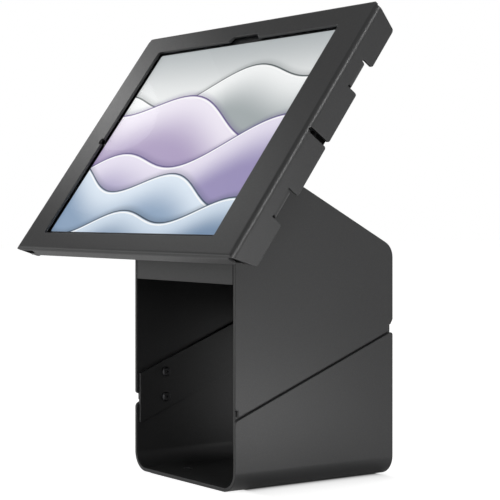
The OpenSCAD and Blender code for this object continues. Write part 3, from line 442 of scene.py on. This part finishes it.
# bezel edges this near stay sharp: the four corners, and the cable slot's end in the right-hand bend
sharpKeep = {"across": 0.011, "low": 0.007, "high": 0.010, "slot": 0.004, "bend": 0.0045}


def staysSharp(point):
    y, z = point.y - lean["edgeY"], point.z - lean["edgeZ"]
    up, behind = y * leanCos + z * leanSin, y * leanSin - z * leanCos
    fromRight, fromLeft = lean["right"] - point.x, point.x + lean["left"]
    beside = min(fromRight, fromLeft) < sharpKeep["across"]
    atCorner = beside and (up < sharpKeep["low"] or up > lean["high"] - sharpKeep["high"])
    inBend = fromRight < sharpKeep["bend"] and behind < sharpKeep["bend"]
    return atCorner or (inBend and abs(up - lean["midB"]) < sharpKeep["slot"])


def rounded(mesh, width):  # the mesh with its weighted edges rounded, as a mesh of its own
    holder = bpy.data.objects.new("rounding", mesh)
    bpy.context.scene.collection.objects.link(holder)
    bevel = holder.modifiers.new("brokenEdge", "BEVEL")
    bevel.width, bevel.segments, bevel.limit_method = width, sheetWork["segments"], "WEIGHT"
    bevel.use_clamp_overlap = False
    done = bpy.data.meshes.new_from_object(holder.evaluated_get(bpy.context.evaluated_depsgraph_get()))
    bpy.data.objects.remove(holder)
    return done


def shadeByAngle(mesh):  # corner normal = sum of area * normal over the faces at its point within the angle
    work = bmesh.new()
    work.from_mesh(mesh)
    area = [face.calc_area() for face in work.faces]
    least = math.cos(math.radians(sheetWork["shade"]))
    normals = []
    for face in work.faces:
        for corner in face.loops:
            near = [other for other in corner.vert.link_faces if other.normal.dot(face.normal) > least]
            total = sum((other.normal * area[other.index] for other in near), Vector())
            normals.append(total.normalized() if total.length > 0 else face.normal.copy())
    work.free()
    mesh.shade_smooth()
    mesh.normals_split_custom_set(normals)


def softenSheet(name, body, width):
    mesh = nodes[name].data.copy()
    work = bmesh.new()
    work.from_mesh(mesh)
    flat, least = math.radians(sheetWork["flat"]), math.radians(sheetWork["sharp"])
    bmesh.ops.remove_doubles(work, verts=work.verts, dist=sheetWork["merge"])
    bmesh.ops.dissolve_limit(work, angle_limit=flat, verts=work.verts, edges=work.edges)
    weight = work.edges.layers.float.new("bevel_weight_edge")
    for edge in work.edges:
        sharp = len(edge.link_faces) == 2 and edge.calc_face_angle(0.0) > least
        middle = (edge.verts[0].co + edge.verts[1].co) / 2
        edge[weight] = 1.0 if sharp and not (name == "bezel" and staysSharp(middle)) else 0.0
    work.to_mesh(mesh)
    work.free()
    mesh = rounded(mesh, width)
    shadeByAngle(mesh)
    piece = addPiece(name + "_sheet", mesh, body, "charcoalPowder")
    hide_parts(name)


for name, look in sheetEdges.items():
    softenSheet(name, **look)
print("sheet edges softened on", len(sheetEdges), "pieces")

weld = 1e-7  # points of a grid closer than this are one point


def gridMesh(name, pts, closeU=False, closeV=False):  # quads between neighbours in a grid of points
    n, m = pts.shape[:2]
    i, j = np.meshgrid(np.arange(n if closeU else n - 1), np.arange(m if closeV else m - 1), indexing="ij")
    i2, j2 = (i + 1) % n, (j + 1) % m
    quads = np.stack([i * m + j, i2 * m + j, i2 * m + j2, i * m + j2], -1).reshape(-1, 4)
    mesh = bpy.data.meshes.new(name)
    mesh.from_pydata(pts.reshape(-1, 3).tolist(), [], quads.tolist())
    work = bmesh.new()
    work.from_mesh(mesh)
    bmesh.ops.remove_doubles(work, verts=work.verts, dist=weld)
    bmesh.ops.recalc_face_normals(work, faces=work.faces)
    work.to_mesh(mesh)
    work.free()
    mesh.shade_smooth()
    return mesh


def roundLoop(w, h, r, steps=12):  # rectangle w by h whose corners are quarter circles of radius r
    t = np.linspace(0, math.pi / 2, steps)
    corner = np.array([[1, 1], [-1, 1], [-1, -1], [1, -1]]) * (np.array([w, h]) / 2 - r)
    turn = t[None, :] + np.arange(4)[:, None] * math.pi / 2
    return (corner[:, None, :] + r * np.stack([np.cos(turn), np.sin(turn)], -1)).reshape(-1, 2)


# black print just inside the back of the glass: each outline is a width, a height and a corner radius
border = {"inner": (0.2086, 0.1546, 0.0015), "rise": 0.0017, "outer": (0.2455, 0.1735, 0.0078),
          "depth": 0.00317}


def makeBorder():  # flat ring from the inner rounded rectangle to the outer one
    inside, outside = roundLoop(*border["inner"]) + (0, border["rise"]), roundLoop(*border["outer"])
    flat = np.stack([inside, outside])
    pts = onFace(flat[..., 0], flat[..., 1] + lean["midB"], border["depth"])
    addPiece("screen_border", gridMesh("screen_border", pts, closeV=True), "cover", "borderInk")


makeBorder()

# foam blocks with pillowed sides: each is its middle across and up the face, its width and its height
foamPads = {
    "edge": {"square": 0.22, "deep": (0.0039, 0.0080), "body": "cover", "node": "edge_cushions", "blocks": [
        (-0.1279, -0.070, 0.0078, 0.018), (-0.1279, 0.070, 0.0078, 0.018),
        (0.12685, -0.070, 0.0057, 0.018), (0.12685, 0.070, 0.0057, 0.018),
        (-0.0496, -0.08925, 0.018, 0.0025), (0.0496, -0.08925, 0.018, 0.0025),
        (-0.0496, 0.09125, 0.018, 0.0065), (0.0496, 0.09125, 0.018, 0.0065)]},
    "rear": {"square": 0.16, "deep": (0.0091, 0.0103), "body": "stand", "node": "rear_pads", "blocks": [
        (-0.085, -0.054, 0.030, 0.020), (-0.085, 0.054, 0.030, 0.020),
        (0.085, -0.054, 0.030, 0.020), (0.085, 0.054, 0.030, 0.020)]},
}
foamGrid = {"round": 48, "over": 25}


def power(value, exponent):  # keeps the sign
    return np.sign(value) * np.abs(value) ** exponent


def foamBlock(a, b, w, h, deep, square):  # ball whose sines and cosines are raised to square
    u = np.linspace(0, 2 * math.pi, foamGrid["round"], endpoint=False)[:, None]
    v = np.linspace(-math.pi / 2, math.pi / 2, foamGrid["over"])[None, :]
    x = power(np.cos(v), square) * power(np.cos(u), square)
    y = power(np.cos(v), square) * power(np.sin(u), square)
    z = power(np.sin(v), square) + 0 * u
    d = (deep[0] + deep[1]) / 2 + z * (deep[1] - deep[0]) / 2
    return onFace(a + x * w / 2, b + y * h / 2, d)


def makeFoamPieces():
    for label, pads in foamPads.items():
        for index, (a, b, w, h) in enumerate(pads["blocks"]):
            title = "foam_%s_%d" % (label, index)
            pts = foamBlock(a, lean["midB"] + b, w, h, pads["deep"], pads["square"])
            mesh = gridMesh(title, pts, closeU=True)
            piece = addPiece(title, mesh, pads["body"], "blackFoam")
            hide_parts(pads["node"])


makeFoamPieces()

# foam frame behind the bezel
gasket = {"w": 0.2194, "h": 0.1703, "r": 0.0032, "middle": (-0.0021, 0.00075), "wide": 0.0033,
          "deep": (0.00203, 0.00247), "square": 0.3, "steps": 20}


def makeGasket():  # pillow profile, cosine and sine raised to square, carried round a rounded rectangle
    loop = roundLoop(gasket["w"], gasket["h"], gasket["r"])
    ahead = np.roll(loop, -1, 0) - np.roll(loop, 1, 0)
    out = np.stack([ahead[:, 1], -ahead[:, 0]], -1) / np.linalg.norm(ahead, axis=1)[:, None]
    t = np.linspace(0, 2 * math.pi, gasket["steps"], endpoint=False)
    across = power(np.cos(t), gasket["square"]) * gasket["wide"] / 2
    d = np.mean(gasket["deep"]) + power(np.sin(t), gasket["square"]) * np.diff(gasket["deep"])[0] / 2
    flat = loop[:, None, :] + out[:, None, :] * across[None, :, None] + gasket["middle"]
    pts = onFace(flat[..., 0], flat[..., 1] + lean["midB"], d[None, :])
    mesh = gridMesh("foam_frame", pts, closeU=True, closeV=True)
    piece = addPiece("foam_frame", mesh, "cover", "blackFoam")
    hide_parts("window_gasket")


makeGasket()

# near-black sheet on the lip behind the cable slot, painted shade so the slot reads as a deep hole; a flat
# foam block standing on edge
slotShadeSheet = {"a": 0.1286, "thick": 0.0008, "tall": 0.0078, "deep": (0.0105, 0.0177), "square": 0.12}


def makeSlotShade():
    pts = foamBlock(slotShadeSheet["a"], lean["midB"], slotShadeSheet["thick"], slotShadeSheet["tall"], slotShadeSheet["deep"], slotShadeSheet["square"])
    addPiece("slot_painted_shade", gridMesh("slot_painted_shade", pts, closeU=True), "stand", "slotPaintedShade")


makeSlotShade()
print("border, foam and rubber pieces made")


# studio

def rayKinds(tree):  # masks of the camera's rays, and of those off gloss or through glass
    ray = put(tree, "ShaderNodeLightPath").outputs
    return ray["Is Camera Ray"], sums(tree, "MAXIMUM", ray["Is Glossy Ray"], ray["Is Transmission Ray"])


# floor: white to the camera with a painted soft shade round the stand; dimmer in gloss and glass, with a
# wider painted shade
floorLook = {
    "halfSize": 6.0, "steps": 9, "drop": 0.0002, "colour": (0.3, 0.3, 0.3, 1), "rough": 0.9, "shine": 0.1,
    "middle": (0.0, 0.0085), "contact": (0.044, 0.0535), "steep": (1.0, 4.0),
    "paintedShades": ((0.6, 0.003), (0.36, 0.026)), "mirrorPaintedShades": ((1.0, 0.08),), "mirrorShare": 0.65,
}


def makeFloor():
    edge = np.linspace(-floorLook["halfSize"], floorLook["halfSize"], floorLook["steps"])
    x, y = np.meshgrid(edge, edge, indexing="ij")
    mesh = gridMesh("studio_floor", np.stack([x, y, 0 * x - floorLook["drop"]], -1))
    floor = bpy.data.objects.new("studio_floor", mesh)
    bpy.context.scene.collection.objects.link(floor)
    mat, tree, bsdf, place = newMaterial("paleFloor")
    bsdf.inputs["Base Color"].default_value = floorLook["colour"]
    bsdf.inputs["Roughness"].default_value = floorLook["rough"]
    bsdf.inputs["Specular IOR Level"].default_value = floorLook["shine"]
    bsdf.inputs["Emission Color"].default_value = white
    # lift = 1 - sum of share * e ^ (-gap / reach), gap = sum of steep * distance beyond the contact lines
    gap = 0.0
    sides = put(tree, "ShaderNodeSeparateXYZ", {0: place}).outputs
    measures = zip(sides, floorLook["middle"], floorLook["contact"], floorLook["steep"])
    for along, middle, contact, steep in measures:
        offset = sums(tree, "ABSOLUTE", sums(tree, "SUBTRACT", along, middle))
        beyond = sums(tree, "MAXIMUM", sums(tree, "SUBTRACT", offset, contact), 0.0)
        gap = sums(tree, "MULTIPLY_ADD", beyond, steep, gap)

    # the stand's shade is painted into the floor's glow: it dims as the gap to the contact lines shrinks
    def lifted(paintedShades):
        level = 1.0
        for share, reach in paintedShades:
            shade = sums(tree, "EXPONENT", sums(tree, "DIVIDE", gap, -reach))
            level = sums(tree, "MULTIPLY_ADD", shade, -share, level)
        return level

    seen, mirrored = rayKinds(tree)
    mirrored = sums(tree, "MULTIPLY", mirrored, floorLook["mirrorShare"])
    image = sums(tree, "MULTIPLY", mirrored, lifted(floorLook["mirrorPaintedShades"]))
    strength = sums(tree, "MULTIPLY_ADD", seen, lifted(floorLook["paintedShades"]), image)
    tree.links.new(strength, bsdf.inputs["Emission Strength"])
    floor.data.materials.append(mat)


# backdrop: white to the camera; in gloss and glass white at the horizon, dimmer above; faint as a light
backdrop = {"from": 0.0, "to": 0.4, "white": 1.0, "dim": 0.31, "ambient": 0.02}


def makeWorld():
    world = bpy.data.worlds.new("studioSurround")
    bpy.context.scene.world = world
    world.use_nodes = True
    tree = world.node_tree
    tree.nodes.clear()
    ray = put(tree, "ShaderNodeTexCoord").outputs["Generated"]
    rise = put(tree, "ShaderNodeSeparateXYZ", {0: ray}).outputs[2]
    image = ramp(tree, rise, backdrop["from"], backdrop["to"], backdrop["white"], backdrop["dim"])
    seen, mirrored = rayKinds(tree)
    strength = blendValue(tree, mirrored, backdrop["ambient"], image)
    strength = blendValue(tree, seen, strength, backdrop["white"])
    surround = put(tree, "ShaderNodeBackground", {"Color": white, "Strength": strength})
    out = tree.nodes.new("ShaderNodeOutputWorld")
    tree.links.new(surround.outputs[0], out.inputs["Surface"])


# soft lamps: place, aim and size in metres, power in watts; a strip also has a direction and a length
leftBorder = (-0.127, -0.043, 0.253)
lamps = {
    "frontLeft": {"at": (-0.7, -0.8, 0.35), "aim": (0.03, -0.03, 0.15), "size": 0.6, "power": 1.0},
    "leftBox": {"at": (-0.3856, -0.0718, 0.4023), "aim": leftBorder, "size": 0.2, "power": 0.08},
    "leftSpot": {"at": (-0.4287, -0.0766, 0.4271), "aim": leftBorder, "size": 0.08, "power": 0.0405},
    "floorNear": {"at": (0.2, 0.02, 0.005), "aim": (0.06, 0.02, 0.06), "size": 0.1, "power": 0.043},
    "floorBack": {"at": (0.22, 0.09, 0.005), "aim": (0.06, 0.05, 0.05), "size": 0.12, "power": 0.037},
    "sideCard": {"at": (0.6, 0.1, 0.12), "aim": (0.1, -0.03, 0.12), "size": 0.25, "power": 0.385},
    "nearRight": {"at": (0.4, -0.35, 0.3), "aim": (0.13, -0.1, 0.16), "size": 0.15, "power": 0.385},
    "rightStrip": {"at": (0.52, -0.134, 0.522), "aim": (0.13, -0.055, 0.222), "size": 0.11, "power": 1.1,
                   "along": (-0.027, 0.172, 0.185), "length": 0.36},
    "backBox": {"at": (-0.25, 0.5, 1.2), "aim": (0.0, 0.05, 0.2), "size": 0.5, "power": 4.0},
}


def makeLamps():
    for name, look in lamps.items():
        lamp = bpy.data.lights.new(name, "AREA")
        lamp.shape, lamp.size, lamp.energy = "ELLIPSE", look["size"], look["power"]
        lamp.size_y = look.get("length", look["size"])
        back = (Vector(look["at"]) - Vector(look["aim"])).normalized()
        along = Vector(look.get("along", (0, 0, 1)))
        along = (along - back * along.dot(back)).normalized()
        holder = bpy.data.objects.new(name, lamp)
        holder.location = look["at"]
        holder.rotation_euler = Matrix((along.cross(back), along, back)).transposed().to_euler()
        holder.visible_camera = False
        bpy.context.scene.collection.objects.link(holder)


makeFloor()
makeWorld()
makeLamps()

# level camera with a lowered frame, as the photograph was taken
shot = {"at": (0.8539, -0.6136, 0.1756), "azimuth": 54.756, "sensor": 36.0, "lens": 112.66,
        "shiftY": -0.0762, "clip": (0.01, 50.0)}


def makeCamera():
    camera = bpy.data.objects.new("shot_camera", bpy.data.cameras.new("shot_camera"))
    camera.location = shot["at"]
    camera.rotation_euler = (math.pi / 2, 0, math.radians(shot["azimuth"]))
    view = camera.data
    view.sensor_width, view.lens, view.shift_y = shot["sensor"], shot["lens"], shot["shiftY"]
    view.clip_start, view.clip_end = shot["clip"]
    bpy.context.scene.collection.objects.link(camera)
    bpy.context.scene.camera = camera


makeCamera()
bpy.context.scene.view_settings.view_transform = "Standard"
print("studio and camera set")
